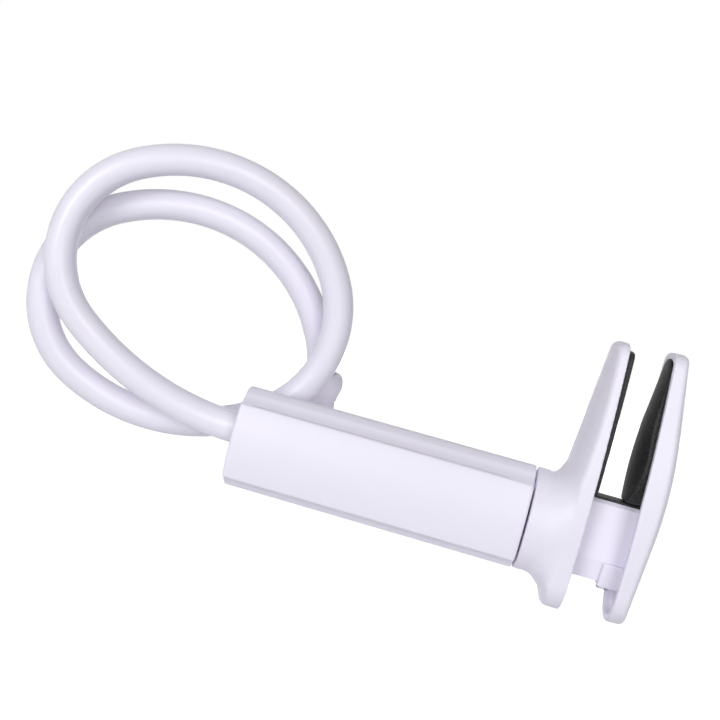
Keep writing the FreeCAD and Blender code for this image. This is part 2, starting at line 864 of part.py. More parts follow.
def slider_shoe():
    body = new_body("slider_shoe")
    half = dim("shoe_half")
    high = dim("shoe_half_height")
    block = sketch_on(body, "YZ_Plane", SHOE_START)
    outline(block, (half, high), (-half, high), (-half, -high), (half, -high))
    pad(body, block, dim("shoe_length"))
    socket = sketch_on(body, "YZ_Plane", BAR_TAIL)
    wide = dim("bar_half") + dim("fit_gap")
    tall = BAR_TOP + dim("fit_gap")
    outline(socket, (wide, tall), (-wide, tall), (-wide, -tall), (wide, -tall))
    pocket(body, socket, dim("shoe_length"), True)
    way = sketch_on(body, "YZ_Plane", BAR_TAIL)
    circle(way, (size(0.0), size(0.0)), dim("bar_channel"))
    pocket(body, way, dim("shoe_base"))
    hole(body, SHOE_PIN, dim("shoe_pin_radius") + dim("pin_gap"), -half, half * 2)
    return hand_in(body, "slider_shoe")


def slider_strip():
    body = new_body("slider_strip")
    half = dim("bar_half") - dim("bar_corner")
    low = BAR_TOP
    high = low + dim("strip_thickness")
    start = dim("pad_proud") + dim("strip_gap")
    section = sketch_on(body, "YZ_Plane", start)
    outline(section, (half, low), (half, high), (-half, high), (-half, low))
    lean = high * dim("toe_in").tangent()
    pad(body, section, MOUTH + dim("dish_hollow") - lean - dim("strip_gap") - start)
    return hand_in(body, "slider_strip")


# Sliding jaw: drawn upright on its own rim plane, then tipped in towards the fixed jaw


def tip_in(thing):
    """Lean a piece of the sliding jaw over the mouth, about the bar's axis at its rim."""
    lean = dim("toe_in")
    lift = dim("jaw_lift")
    thing.Placement = Placement(Vector(MOUTH.value, 0, lift.value), Rotation(Vector(0, -1, 0), lean.value))
    bind(
        thing,
        **{".Placement.Base.x": MOUTH, ".Placement.Base.z": lift, ".Placement.Rotation.Angle": lean}
    )
    return thing


def sliding_jaw():
    shell = new_body("jaw_dish")
    rim = jaw_outline(sketch_on(shell, "YZ_Plane"), size(0.0))
    pad(shell, rim, dim("dish_depth") + dim("dish_edge_round"))
    axis = dim("dish_crown")
    high = dim("jaw_top") + dim("jaw_rim")
    low = -(dim("jaw_bottom") + dim("jaw_rim"))
    beyond = (axis + dim("dish_depth")) * 2
    back_groove(
        shell,
        [
            (axis + dim("dish_foot_depth"), low),
            (axis + dim("dish_waist_depth"), dim("dish_waist")),
            (
                (axis + dim("dish_depth"), dim("dish_belly")),
                (axis + dim("dish_shoulder_depth"), dim("dish_shoulder")),
            ),
            (axis + dim("dish_tip_depth"), high),
            (beyond, high),
            (beyond, low),
        ],
        -axis,
    )
    back = dim("dish_tip_depth").value / 4
    round_edges(shell, dim("dish_edge_round"), lambda mark: mark.x > back)
    round_edges(shell, dim("jaw_rim_round"), on_station(size(0.0)))
    hollow = jaw_outline(sketch_on(shell, "YZ_Plane"), dim("jaw_rim"))
    pocket(shell, hollow, dim("dish_hollow"), True)
    tip_in(shell)

    wall = dim("collar_wall")
    half = dim("bar_half") + wall
    foot = dim("bar_foot_half") + wall
    low = -(BAR_BOTTOM + wall)
    crease = -dim("bar_crease")
    collar = new_body("jaw_collar")
    ring = sketch_on(collar, "YZ_Plane", MOUTH - dim("collar_reach"))
    outline(ring, (half, crease), (-half, crease), (-foot, low), (foot, low))
    pad(collar, ring, dim("collar_reach") + dim("bar_in_jaw"))

    socket = new_body("jaw_socket")
    section = sketch_on(socket, "YZ_Plane", MOUTH - dim("collar_reach") * 2)
    outline(section, *bar_section(dim("fit_gap")))
    pad(socket, section, dim("collar_reach") * 2 + dim("bar_in_jaw") + dim("fit_gap"))

    below = -(dim("jaw_bottom") + dim("bar_crease"))
    way = dim("screw_radius") + dim("screw_gap")
    screw = cylinder("jaw_screw_way", way, dim("jaw_bottom"), "Z", (BAR_SCREW_X, size(0.0), below))
    whole = fuse("jaw_whole", [shell, collar])
    ways = fuse("jaw_ways", [socket, screw])
    return hand_in(cut("sliding_jaw", whole, ways), "sliding_jaw")


def sliding_jaw_pad():
    """A leaf that is crowned across its width and thins out towards its tip."""
    leaf = new_body("leaf")
    seat = dim("dish_hollow") - dim("pad_gap")
    height = seat + dim("leaf_proud") + dim("leaf_edge_proud")
    pad(leaf, leaf_outline(sketch_on(leaf, "YZ_Plane", seat)), height, True)
    drop = dim("leaf_proud") - dim("leaf_edge_proud")
    half = dim("leaf_belly_half")
    axis = (half * half + drop * drop) / (drop * 2) - dim("leaf_proud")
    beyond = (axis + dim("leaf_proud")) * -2
    tip = PAD_TOP + dim("leaf_tip_gap")
    foot = PAD_FOOT - dim("leaf_tip_gap")
    back_groove(
        leaf,
        [
            (-(axis + dim("leaf_tip_proud")), tip),
            (-(axis + dim("leaf_bend_proud")), dim("leaf_bend")),
            (
                (-(axis + dim("leaf_proud")), dim("leaf_belly")),
                (-(axis + dim("leaf_foot_proud")), foot),
            ),
            (beyond, foot),
            (beyond, tip),
        ],
        axis,
    )
    tip_in(leaf)
    return hand_in(group("sliding_jaw_pad", [leaf]), "sliding_jaw_pad")


# Pins and screws


def pins():
    """Straight pins along Y, flush with what holds them."""
    width = dim("bar_half")
    wing = dim("shoe_half")
    radius = dim("spring_pin_radius")
    anchor_length = ANCHOR_PIN_END - ANCHOR_PIN_START
    anchor = cylinder("anchor", radius, anchor_length, "Y", (ANCHOR, ANCHOR_PIN_START, size(0.0)))
    bar_pin = cylinder("bar_pin", radius, width * 2, "Y", (BAR_PIN, -width, size(0.0)))
    lock_start = (SHOE_PIN[0], -wing, SHOE_PIN[1])
    shoe_pin = cylinder("shoe_lock", dim("shoe_pin_radius"), wing * 2, "Y", lock_start)
    for pin, label in (
        (anchor, "spring_anchor_pin"),
        (bar_pin, "slider_spring_pin"),
        (shoe_pin, "shoe_pin"),
    ):
        hand_in(group(label, [pin]), label)


def screw(name, length, axis, seat):
    """A screw whose shank starts at its tip and whose head lies beyond its seat, along an axis."""
    step = "xyz".index(axis.lower())
    way = -1 if axis == "Z" else 1
    tip = list(seat)
    head = list(seat)
    if way > 0:
        tip[step] = seat[step] - length
    else:
        head[step] = seat[step] - dim("screw_head")
    shank = cylinder(name + "_shank", dim("screw_radius"), length, axis, tip)
    cap = cylinder(name + "_cap", dim("screw_head_radius"), dim("screw_head"), axis, head)
    return fuse(name + "_whole", [shank, cap])


def screws():
    """Screws from the back of the handle, and the one from below that holds the sliding jaw."""
    groups = (
        ("cover_screws", ANCHOR, "cover_screw_height", "cover_screw_seat", "cover_screw_length"),
        ("fixed_jaw_screws", JAW_SCREW_X, "jaw_screw_height", "jaw_screw_seat", "jaw_screw_length"),
    )
    for label, station, height, seat, length in groups:
        pair = [
            screw(label, dim(length), "Y", (station, dim(seat), dim(height) * side))
            for side in (1, -1)
        ]
        hand_in(group(label, pair), label)
    seat = -(BAR_BOTTOM + dim("collar_wall"))
    one = screw("sliding_jaw_screw", dim("bar_screw_length"), "Z", (BAR_SCREW_X, size(0.0), seat))
    hand_in(one, "sliding_jaw_screw")


# Spring


def tension_spring():
    """An extension spring: open coil, a straight link at each end, and a ring round each pin."""
    radius = dim("spring_radius")
    wire = dim("spring_wire")
    link = dim("spring_link")
    start = ANCHOR + link
    end = BAR_PIN - link
    along = Rotation(Vector(0, 0, 1), Vector(0, -1, 0), Vector(1, 0, 0))
    helix = doc.addObject("Part::Helix", "spring_helix")
    helix.Placement = Placement(Vector(start.value, 0, 0), along)
    bind(helix, Radius=radius, Height=end - start, Pitch=(end - start) / dim("spring_turns"))
    bind(helix, **{".Placement.Base.x": start})
    section = doc.addObject("Part::Circle", "spring_section")
    section.Placement = Placement(Vector(start.value, 0, radius.value), Rotation(Vector(1, 0, 0), 90))
    bind(section, Radius=wire)
    bind(section, **{".Placement.Base.x": start, ".Placement.Base.z": radius})
    coil = doc.addObject("Part::Sweep", "spring_coil")
    coil.Sections = [section]
    coil.Spine = (helix, ["Edge1"])
    coil.Solid = True
    coil.Frenet = True
    bite = wire / 2
    slim = wire - dim("fit_gap")
    pieces = [coil]
    for name, centre, first in (("near", ANCHOR, ANCHOR), ("far", BAR_PIN, end - bite)):
        ring = doc.addObject("Part::Torus", "spring_ring_" + name)
        ring.Placement = Placement(Vector(centre.value, 0, 0), Rotation(Vector(1, 0, 0), 90))
        bind(ring, Radius1=radius, Radius2=wire)
        bind(ring, **{".Placement.Base.x": centre})
        pieces.append(ring)
        pieces.append(cylinder("spring_link_" + name, slim, link + bite, "X", (first, size(0.0), radius)))
    return hand_in(fuse("tension_spring", pieces), "tension_spring")


# Gooseneck arm


def arm_path(name, start, runout):
    """The arm's centre line: straight out of the handle, through its bends, and a straight run-out."""
    here = Vector(start.value, 0, dim("arm_height").value)
    ahead = Vector(-1, 0, 0)
    inward = Vector(0, 0, 1)
    leave = Vector((HANDLE_START - dim("arm_lead")).value, 0, here.z)
    edges = [Part.LineSegment(here, leave).toShape()]
    here = leave
    for bend in BENDS:
        radius = dim(bend + "_bend_radius").value
        turn = math.radians(dim(bend + "_turn_angle").value)
        roll = math.radians(dim(bend + "_roll_angle").value)
        across = ahead.cross(inward)
        inward = inward * math.cos(roll) + across * math.sin(roll)
        centre = here + inward * radius
        half = centre - inward * radius * math.cos(turn / 2) + ahead * radius * math.sin(turn / 2)
        there = centre - inward * radius * math.cos(turn) + ahead * radius * math.sin(turn)
        edges.append(Part.Arc(here, half, there).toShape())
        here = there
        ahead, inward = (
            ahead * math.cos(turn) + inward * math.sin(turn),
            inward * math.cos(turn) - ahead * math.sin(turn),
        )
    edges.append(Part.LineSegment(here, here + ahead * runout.value).toShape())
    path = doc.addObject("Part::Feature", name)
    path.Shape = Part.Wire(edges)
    return path, here, ahead


def arm_tube(name, radius, start, runout):
    """A round solid along the arm's centre line."""
    path, end, ahead = arm_path(name + "_path", start, runout)
    section = doc.addObject("Part::Circle", name + "_section")
    turned = Rotation(Vector(0, 1, 0), -90)
    section.Placement = Placement(Vector(start.value, 0, dim("arm_height").value), turned)
    bind(section, Radius=radius)
    bind(section, **{".Placement.Base.x": start, ".Placement.Base.z": dim("arm_height")})
    tube = doc.addObject("Part::Sweep", name + "_tube")
    tube.Sections = [section]
    tube.Spine = (path, ["Edge%d" % (number + 1) for number in range(len(path.Shape.Edges))])
    tube.Solid = True
    tube.Frenet = False
    doc.recompute()
    expected = math.pi * radius.value**2 * path.Shape.Length
    if abs(tube.Shape.Volume / expected - 1) > 0.001:
        raise RuntimeError("tube volume differs from section times length")
    return tube, end, ahead


def arm():
    """Plastic sleeve, metal core, ferrule in the handle, and collar and stud at the far end."""
    core_radius = dim("arm_core_radius")
    sleeve_end = dim("arm_runout")
    core_start = WALL_FACE + dim("ferrule_length")
    core_end = sleeve_end + dim("collar_start")
    outer, end, ahead = arm_tube("sleeve", dim("arm_radius"), WALL_FACE, sleeve_end)
    inner = arm_tube("sleeve_bore", core_radius + dim("fit_gap"), WALL_FACE, sleeve_end)[0]
    hand_in(cut("arm_sleeve", outer, inner), "arm_sleeve")
    core = arm_tube("core", core_radius, core_start, core_end)[0]

    middle = (WALL_FACE + dim("ferrule_length") / 2, -dim("ferrule_radius"), dim("arm_height"))
    across = dim("ferrule_radius") * 2
    hole_radius = dim("ferrule_pin_radius") + dim("pin_gap")
    pin_way = cylinder("ferrule_pin_way", hole_radius, across, "Y", middle)
    hand_in(cut("arm_core", core, pin_way), "arm_core")
    lying = (WALL_FACE, size(0.0), dim("arm_height"))
    blank = cylinder("ferrule_blank", dim("ferrule_radius"), dim("ferrule_length"), "X", lying)
    bore = cylinder("ferrule_bore", core_radius + dim("fit_gap"), dim("ferrule_length"), "X", lying)
    hand_in(cut("arm_ferrule", blank, fuse("ferrule_ways", [bore, pin_way])), "arm_ferrule")
    pin = cylinder("ferrule_lock", dim("ferrule_pin_radius"), across, "Y", middle)
    hand_in(group("ferrule_pin", [pin]), "ferrule_pin")

    at_end = Placement(end, Rotation(Vector(0, 0, 1), ahead))
    end_collar(at_end)
    end_stud(at_end)


def turned_piece(name, label, at, profile):
    """A turned piece whose axis runs on from the arm's end. The profile gives radius and height."""
    body = new_body(name)
    sketch = outline(sketch_on(body, "XZ_Plane"), *profile)
    turning = body.newObject("PartDesign::Revolution", name + "_turning")
    turning.Profile = sketch
    turning.ReferenceAxis = (sketch, ["V_Axis"])
    turning.Angle = 360.0
    doc.recompute()
    body.Label = label
    shift = Vector(-dim("pad_proud").value, 0, -PAD_MIDDLE.value)
    body.Placement = Placement(shift, Rotation()).multiply(at)
    PARTS.append(body)
    return body


def end_collar(at):
    outer = dim("collar_radius")
    start = dim("collar_start")
    end = start + dim("collar_length")
    ease = dim("collar_round")
    soft = ease * (1 - math.sqrt(0.5))
    bore = dim("arm_radius") + dim("fit_gap")
    socket = dim("arm_runout") + dim("fit_gap")
    tenon = dim("arm_core_radius") + dim("fit_gap") * 2
    small = dim("collar_lip_round")
    nip = small * (1 - math.sqrt(0.5))
    profile = [
        (bore, start),
        (outer - ease, start),
        ((outer - soft, start + soft), (outer, start + ease)),
        (outer, end - small),
        ((outer - nip, end - nip), (outer - small, end)),
        (tenon, end),
        (tenon, socket),
        (bore, socket),
    ]
    return turned_piece("collar", "end_collar", at, profile)


def end_stud(at):
    radius = dim("stud_radius")
    root = dim("collar_start") + dim("collar_length")
    tip = root + dim("stud_length")
    tenon = dim("arm_core_radius") + dim("fit_gap")
    low = root - dim("stud_tenon")
    bevel = dim("stud_chamfer")
    nothing = size(0.0)
    profile = [
        (nothing, low),
        (tenon, low),
        (tenon, root),
        (radius, root),
        (radius, tip - bevel),
        (radius - bevel, tip),
        (nothing, tip),
    ]
    return turned_piece("stud", "end_stud", at, profile)


# Build everything

handle_shell()
handle_cover()
fixed_jaw()
fixed_jaw_pad()
slider_bar()
slider_shoe()
slider_strip()
sliding_jaw()
sliding_jaw_pad()
pins()
screws()
tension_spring()
arm()

doc.recompute()
for thing in doc.Objects:
    if "Invalid" in thing.State or "Error" in thing.State:
        raise RuntimeError("%s failed: %s" % (thing.Name, thing.State))
for thing in PARTS:
    if thing.Shape.isNull() or not thing.Shape.isValid():
        raise RuntimeError("bad shape: " + thing.Label)

os.makedirs("parts", exist_ok=True)
for thing in PARTS:
    thing.Shape.exportStep("parts/%s.step" % thing.Label)
    print(thing.Label, len(thing.Shape.Solids), round(thing.Shape.Volume, 1))
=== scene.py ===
import json
import math

import bmesh
import bpy
import numpy as np
from mathutils import Euler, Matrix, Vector

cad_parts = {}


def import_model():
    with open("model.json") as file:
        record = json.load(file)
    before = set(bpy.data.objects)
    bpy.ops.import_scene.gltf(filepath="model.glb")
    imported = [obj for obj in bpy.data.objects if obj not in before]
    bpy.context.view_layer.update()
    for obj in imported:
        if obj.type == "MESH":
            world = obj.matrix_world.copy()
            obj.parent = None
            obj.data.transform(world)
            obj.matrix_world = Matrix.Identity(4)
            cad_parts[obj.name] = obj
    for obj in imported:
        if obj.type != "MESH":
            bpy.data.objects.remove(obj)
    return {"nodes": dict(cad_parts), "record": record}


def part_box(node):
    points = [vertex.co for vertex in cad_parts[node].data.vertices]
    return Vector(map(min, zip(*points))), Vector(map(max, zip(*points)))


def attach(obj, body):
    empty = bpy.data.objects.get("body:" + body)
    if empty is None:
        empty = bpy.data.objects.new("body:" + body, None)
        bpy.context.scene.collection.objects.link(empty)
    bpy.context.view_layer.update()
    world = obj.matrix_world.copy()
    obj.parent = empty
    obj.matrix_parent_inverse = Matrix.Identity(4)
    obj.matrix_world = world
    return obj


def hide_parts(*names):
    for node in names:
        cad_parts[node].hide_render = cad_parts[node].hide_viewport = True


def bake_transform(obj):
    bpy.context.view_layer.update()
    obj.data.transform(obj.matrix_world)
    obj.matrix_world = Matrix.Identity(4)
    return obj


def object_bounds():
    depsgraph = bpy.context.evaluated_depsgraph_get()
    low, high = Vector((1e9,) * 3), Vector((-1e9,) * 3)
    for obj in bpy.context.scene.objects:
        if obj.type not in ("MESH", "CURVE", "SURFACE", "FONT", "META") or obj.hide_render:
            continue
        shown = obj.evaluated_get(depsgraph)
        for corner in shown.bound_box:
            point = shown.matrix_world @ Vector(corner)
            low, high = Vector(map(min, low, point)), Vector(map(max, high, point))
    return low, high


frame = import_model()
NODES = frame["nodes"]
CAD_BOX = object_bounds()
MM = 0.001

# Camera, from the photograph's view: place in metres, turn in degrees, and a small downward shift.
CAMERA_AT = (-0.050919, -0.323076, 0.021087)
CAMERA_TURN = (88.456, -14.83, 6.7)
CAMERA_LENS = 50.0
CAMERA_SENSOR = 36.0
CAMERA_SHIFT = -0.0667
CAMERA_NEAREST = 0.01

# Light: how strongly the world fills the shadows, and the point that the lamps look at.
FILL_LEVEL = 0.20
LAMP_TARGET = (-0.07, 0.0, -0.01)

# Floor: how far it reaches each way, and the glow that makes it white where the camera sees it.
FLOOR_REACH = 12.0
FLOOR_GLOW = 0.87
FLOOR_ROUGHNESS = 0.9
FLOOR_TONES = (0.70, 0.70, 0.71), (0.72, 0.72, 0.72)

# Middle range of a noise, which is spread over a range of values.
NOISE_RANGE = 0.3, 0.7
PLASTIC_IOR = 1.46
RUBBER_TONES = (0.004, 0.004, 0.004), (0.062, 0.062, 0.063)
RUBBER_GLOSS = 0.25

# Points of a solid's mesh nearer than this are one point.
WELD_REACH = 0.001 * MM


# Materials


def new_material(name):
    """A node material with its shader and the place of each point, in metres."""
    material = bpy.data.materials.new(name)
    material.use_nodes = True
    tree = material.node_tree
    shader = tree.nodes["Principled BSDF"]
    place = tree.nodes.new("ShaderNodeTexCoord").outputs["Object"]
    return material, tree, shader, place


def noise(tree, place, scale, detail=2.0):
    """A cloudy pattern in space, with a scale in waves a metre."""
    node = tree.nodes.new("ShaderNodeTexNoise")
    node.inputs["Scale"].default_value = scale
    node.inputs["Detail"].default_value = detail
    tree.links.new(place, node.inputs["Vector"])
    return node.outputs["Fac"]


def spread(tree, factor, low, high):
    """Map a noise's middle range to a range of values."""
    node = tree.nodes.new("ShaderNodeMapRange")
    node.inputs["From Min"].default_value = NOISE_RANGE[0]
    node.inputs["From Max"].default_value = NOISE_RANGE[1]
    node.inputs["To Min"].default_value = low
    node.inputs["To Max"].default_value = high
    tree.links.new(factor, node.inputs["Value"])
    return node.outputs["Result"]


def two_tone(tree, factor, one, other):
    """A colour between two, by a factor."""
    node = tree.nodes.new("ShaderNodeMix")
    node.data_type = "RGBA"
    node.inputs["A"].default_value = (*one, 1.0)
    node.inputs["B"].default_value = (*other, 1.0)
    tree.links.new(factor, node.inputs["Factor"])
    return node.outputs["Result"]


def bump(tree, height, depth, strength):
    """A normal that shows a height pattern of a depth in metres."""
    node = tree.nodes.new("ShaderNodeBump")
    node.inputs["Distance"].default_value = depth
    node.inputs["Strength"].default_value = strength
    tree.links.new(height, node.inputs["Height"])
    return node.outputs["Normal"]


def plastic(name, light, dark, smooth, rough):
    """Moulded gloss plastic: faint flow marks in colour and gloss over a slight ripple of the surface."""
    material, tree, shader, place = new_material(name)
    flow = noise(tree, place, scale=40.0, detail=3.0)
    tone = two_tone(tree, spread(tree, flow, 0.0, 1.0), light, dark)
    tree.links.new(tone, shader.inputs["Base Color"])
    haze = noise(tree, place, scale=70.0, detail=1.0)
    tree.links.new(spread(tree, haze, smooth, rough), shader.inputs["Roughness"])
    ripple = noise(tree, place, scale=1500.0, detail=1.0)
    tree.links.new(bump(tree, ripple, depth=0.003 * MM, strength=0.10), shader.inputs["Normal"])
    shader.inputs["IOR"].default_value = PLASTIC_IOR
    return material


def rubber(name):
    """Soft black rubber with a fine leathery grain."""
    material, tree, shader, place = new_material(name)
    grain = noise(tree, place, scale=1500.0, detail=4.0)
    cloud = noise(tree, place, scale=120.0, detail=3.0)
    mixed = tree.nodes.new("ShaderNodeMath")
    mixed.operation = "MULTIPLY"
    tree.links.new(spread(tree, grain, 0.0, 1.0), mixed.inputs[0])
    tree.links.new(spread(tree, cloud, 0.5, 1.0), mixed.inputs[1])
    tone = two_tone(tree, mixed.outputs[0], *RUBBER_TONES)
    tree.links.new(tone, shader.inputs["Base Color"])
    tree.links.new(spread(tree, grain, 0.50, 0.66), shader.inputs["Roughness"])
    tree.links.new(bump(tree, grain, depth=0.05 * MM, strength=0.60), shader.inputs["Normal"])
    shader.inputs["Specular IOR Level"].default_value = RUBBER_GLOSS
    return material


def metal(name, light, dark):
    """Plated or drawn metal with a fine mottle in colour and gloss."""
    material, tree, shader, place = new_material(name)
    mottle = noise(tree, place, scale=1400.0, detail=4.0)
    tone = two_tone(tree, spread(tree, mottle, 0.0, 1.0), light, dark)
    tree.links.new(tone, shader.inputs["Base Color"])
    tree.links.new(spread(tree, mottle, 0.22, 0.38), shader.inputs["Roughness"])
    shader.inputs["Metallic"].default_value = 1.0
    return material


LOOKS = {
    "shell_white": plastic("white_shell", (0.862, 0.834, 0.946), (0.847, 0.820, 0.933), 0.40, 0.44),
    "arm_white": plastic("white_arm", (0.850, 0.825, 0.930), (0.835, 0.812, 0.918), 0.30, 0.33),
    "pad_black": rubber("black_rubber"),
    "steel": metal("plated_steel", (0.62, 0.62, 0.64), (0.50, 0.50, 0.52)),
    "arm_metal": metal("drawn_aluminium", (0.74, 0.74, 0.76), (0.62, 0.62, 0.64)),
}
SLOT_OF = {row["node"]: row["material_slot"] for row in frame["record"]["subparts"]}
BODY_OF = {node: body for body, nodes in frame["record"]["behaviour"]["bodies"].items() for node in nodes}


def finish_nodes():
    """Give each solid of the frame the finish of its slot."""
    for name, node in NODES.items():
        node.data.materials.clear()
        node.data.materials.append(LOOKS[SLOT_OF[name]])


# Pieces that stand for a solid with finer detail


def middle_of(node):
    """The middle of a solid's box."""
    low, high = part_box(node)
    return (Vector(low) + Vector(high)) / 2


def add_piece(name, mesh, node):
    """A new piece in the place of a solid, with that solid's finish."""
    piece = bpy.data.objects.new(name, mesh)
    bpy.context.scene.collection.objects.link(piece)
    mesh.materials.clear()
    mesh.materials.append(LOOKS[SLOT_OF[node]])
    return piece


def take_place(node):
    """Hide a solid, so that a piece can take its place."""
    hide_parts(node)


def settle(piece, node):
    """Let a piece move with a solid's body and stand for the solid."""
    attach(piece, BODY_OF[node])
    take_place(node)


def welded_copy(name, node):
    """A piece with a solid's own mesh, whose faces are joined along their edges."""
    piece = add_piece(name, NODES[node].data.copy(), node)
    weld = piece.modifiers.new("weld", "WELD")
    weld.merge_threshold = WELD_REACH
    return piece


def shaped(piece):
    """Turn a piece's modifiers into its own mesh."""
    graph = bpy.context.evaluated_depsgraph_get()
    mesh = bpy.data.meshes.new_from_object(piece.evaluated_get(graph))
    piece.modifiers.clear()
    piece.data = mesh


def remeshed(name, node, voxel):
    """A piece with an even mesh of a solid's shape."""
    piece = welded_copy(name, node)
    even = piece.modifiers.new("even", "REMESH")
    even.mode = "VOXEL"
    even.voxel_size = voxel
    even.use_smooth_shade = True
    shaped(piece)
    return piece


def calm(mesh, rounds):
    """Relax a mesh towards the mean of each point's neighbours."""
    work = bmesh.new()
    work.from_mesh(mesh)
    for _ in range(rounds):
        bmesh.ops.smooth_vert(
            work, verts=work.verts, factor=0.5, use_axis_x=True, use_axis_y=True, use_axis_z=True
        )
    work.to_mesh(mesh)
    work.free()


def places_of(mesh):
    """The places of a mesh's points, one row each."""
    place = np.empty(len(mesh.vertices) * 3)
    mesh.vertices.foreach_get("co", place)
    return place.reshape(-1, 3)


def set_places(mesh, place):
    mesh.vertices.foreach_set("co", place.ravel())
    mesh.update()


def fill_hollows(mesh, share, rounds):
    """Raise hollow creases towards their surroundings, by a share for each point, and leave crests alone."""
    rounds_per_normal = 10
    pace = 0.8
    place = places_of(mesh)
    count = len(place)
    ends = np.empty(len(mesh.edges) * 2, dtype=int)
    mesh.edges.foreach_get("vertices", ends)
    one, other = ends.reshape(-1, 2).T
    links = np.bincount(ends, minlength=count)
    normal = np.empty(count * 3)
    for step in range(rounds):
        if step % rounds_per_normal == 0:
            set_places(mesh, place)
            mesh.vertex_normals.foreach_get("vector", normal)
            out = normal.reshape(-1, 3)
            part = share(place, out)
        mean = np.empty_like(place)
        for axis in range(3):
            total = np.bincount(one, place[other, axis], count) + np.bincount(other, place[one, axis], count)
            mean[:, axis] = total / links
        rise = ((mean - place) * out).sum(axis=1)
        place = place + out * (np.clip(rise, 0.0, None) * part * pace)[:, None]
    set_places(mesh, place)


def ramp(value, low, high):
    """0 below a range, 1 above it, and a smooth step between."""
    part = np.clip((value - low) / (high - low), 0.0, 1.0)
    return part * part * (3.0 - 2.0 * part)


def moulded_jaw():
    """The fixed jaw with hub and plate run together as in one moulding."""
    piece = remeshed("moulded_fixed_jaw", "fixed_jaw", voxel=0.36 * MM)
    calm(piece.data, 1)
    bar = middle_of("slider_bar")
    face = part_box("fixed_jaw")[1][0]
    slot_half_depth, slot_half_height = 5.8 * MM, 13.4 * MM
    neck_start, neck_full = face - 13.0 * MM, face - 10.0 * MM
    rim_full, rim_end = face - 2.0 * MM, face - 1.0 * MM
    least_facing, full_facing = 0.15, 0.5

    def flanks(place, out):
        """The blend's share: on the flanks between neck and rim, clear of the slot for the bar."""
        x, y, z = place.T
        clear = np.maximum(abs(y - bar.y) - slot_half_depth, abs(z - bar.z) - slot_half_height) > 0.0
        along = ramp(x, neck_start, neck_full) * ramp(-x, -rim_end, -rim_full)
        return clear * along * ramp(abs(out[:, 1]), least_facing, full_facing)

    fill_hollows(piece.data, flanks, rounds=600)
    settle(piece, "fixed_jaw")


def moulded(name, node, voxel, rounds, change=None):
    """A moulding with eased edges, and with its points moved by a rule that takes and gives their places."""
    piece = remeshed(name, node, voxel)
    calm(piece.data, rounds)
    if change:
        set_places(piece.data, change(places_of(piece.data)))
    settle(piece, node)
    return piece


def seated_panel(place):
    """The panel fills its opening, leaves a wider band above it, and sinks its rim into the housing."""
    upper_fit, lower_fit = 0.974, 1.022
    rim_start, rim_full = 10.7 * MM, 11.3 * MM
    rim_front, rim_back = -9.9 * MM, -9.4 * MM
    rim_sunk = 1.4 * MM
    middle = middle_of("handle_cover")
    height = place[:, 2] - middle.z
    rim = ramp(abs(height), rim_start, rim_full)
    place[:, 1] += rim_sunk * rim * ramp(place[:, 1], rim_front, rim_back)
    place[:, 2] = middle.z + height * np.where(height > 0.0, upper_fit, lower_fit)
    return place


def coved_bands(place):
    """The slanting bands between the panel and the housing's two ridges are hollowed into shallow coves.

    The upper band is also wider than in the solid, and the upper ridge leans back.
    """
    axis = middle_of("slider_bar")
    step_y, step_z = -9.2 * MM, 12.5 * MM
    ridge_y, ridge_z = -3.4 * MM, 16.1 * MM
    cove_depth, skin = 0.55 * MM, 0.35 * MM
    step_drop, band_growth, ridge_lean = 0.9 * MM, 1.3 * MM, 1.5 * MM
    front_end, back_start = -3.0 * MM, 4.0 * MM
    drop_start, drop_full = 9.0 * MM, 12.0 * MM
    lean_start, lean_full = ridge_z - 1.0 * MM, ridge_z + 0.4 * MM

    run = Vector((ridge_y - step_y, ridge_z - step_z))
    along_y, along_z = run / run.length
    y = place[:, 1] - axis.y
    z = place[:, 2] - axis.z
    height = abs(z)
    part = ((y - step_y) * along_y + (height - step_z) * along_z) / run.length
    proud = -(y - step_y) * along_z + (height - step_z) * along_y
    on_band = (part > 0.0) & (part < 1.0) & (abs(proud) < skin)
    sunk = cove_depth * np.sin(np.pi * np.clip(part, 0.0, 1.0)) * on_band
    place[:, 1] += sunk * along_z
    place[:, 2] -= sunk * along_y * np.sign(z)

    front = 1.0 - ramp(y, front_end, back_start)
    lowered = -step_drop * ramp(z, drop_start, drop_full)
    raised = band_growth * np.clip((z - step_z) / (ridge_z - step_z), 0.0, 1.0)
    place[:, 2] += front * (lowered + raised)
    place[:, 1] += ridge_lean * front * ramp(z, lean_start, lean_full)
    return place


def full_collar(place):
    """The collar swells in its upper half, reaches up the arm, and draws in towards the stud."""
    swell, draw_in, reach = 0.10, 0.16, 1.4 * MM
    swell_start, swell_end = -0.2, 0.9
    draw_start, draw_end = 0.5, 1.0
    middle = middle_of("end_collar")
    axis = np.array((middle_of("end_stud") - middle).normalized())
    along = (place - np.array(middle)) @ axis
    part = (along - along.min()) / (along.max() - along.min())
    centre = np.array(middle) + along[:, None] * axis
    swelled = swell * np.sin(np.pi * ramp(part, swell_start, swell_end))
    girth = 1.0 + swelled - draw_in * ramp(part, draw_start, draw_end)
    lift = -reach * (1.0 - part)
    return centre + (place - centre) * girth[:, None] + lift[:, None] * axis


def thin_strip(place):
    """The strip is pressed flat on the bar."""
    share = 0.75
    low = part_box("slider_strip")[0][2]
    place[:, 2] = low + (place[:, 2] - low) * share
    return place


def full_tip(place):
    """The fixed pad is a little thicker towards its tip and thinner towards its foot."""
    tip_gain, foot_loss = 0.4 * MM, 0.5 * MM
    low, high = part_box("fixed_jaw_pad")
    forward = (place[:, 0] - low[0]) / (high[0] - low[0])
    upward = (place[:, 2] - low[2]) / (high[2] - low[2])
    place[:, 0] += forward * (tip_gain * upward - foot_loss * (1.0 - upward))
    return place


